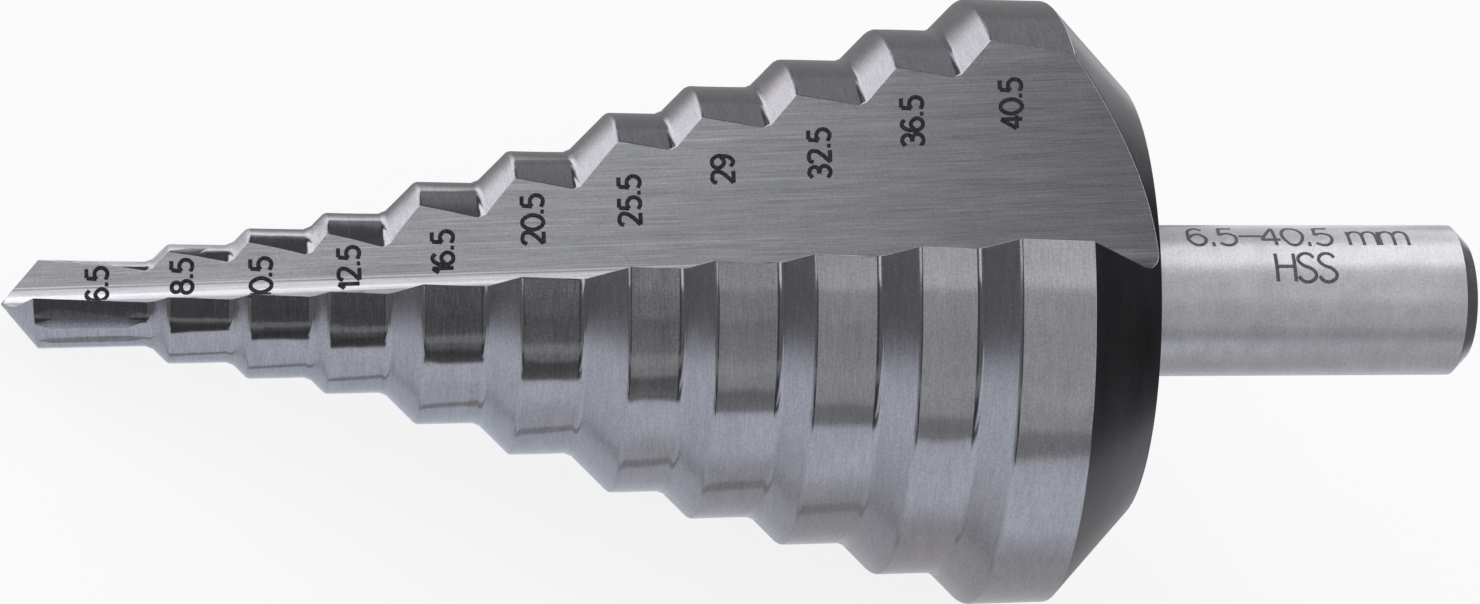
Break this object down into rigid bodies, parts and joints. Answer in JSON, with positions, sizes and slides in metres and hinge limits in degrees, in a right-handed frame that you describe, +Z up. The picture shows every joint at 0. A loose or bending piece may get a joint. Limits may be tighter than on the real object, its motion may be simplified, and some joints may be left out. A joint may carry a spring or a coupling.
{
  "type": "step drill",
  "caption": "Step drill with a straight V-shaped flute on each side and a plain round shank, for drilling and widening holes in sheet metal.",
  "frame": {"origin": "centre of the underside of the bounding box, on the table that the drill lies on", "axes": "+X from the point towards the shank along the drill as it lies, +Z up, +Y to the side. The drill's own axis lies in the XZ plane and climbs towards the shank at 14.5 degrees."},
  "size_m": [0.0942, 0.04, 0.0373],
  "materials": {
    "steel": "ground"
  },
  "bodies": {
    "root": {"step_drill": "steel"}
  },
  "joints": []
}
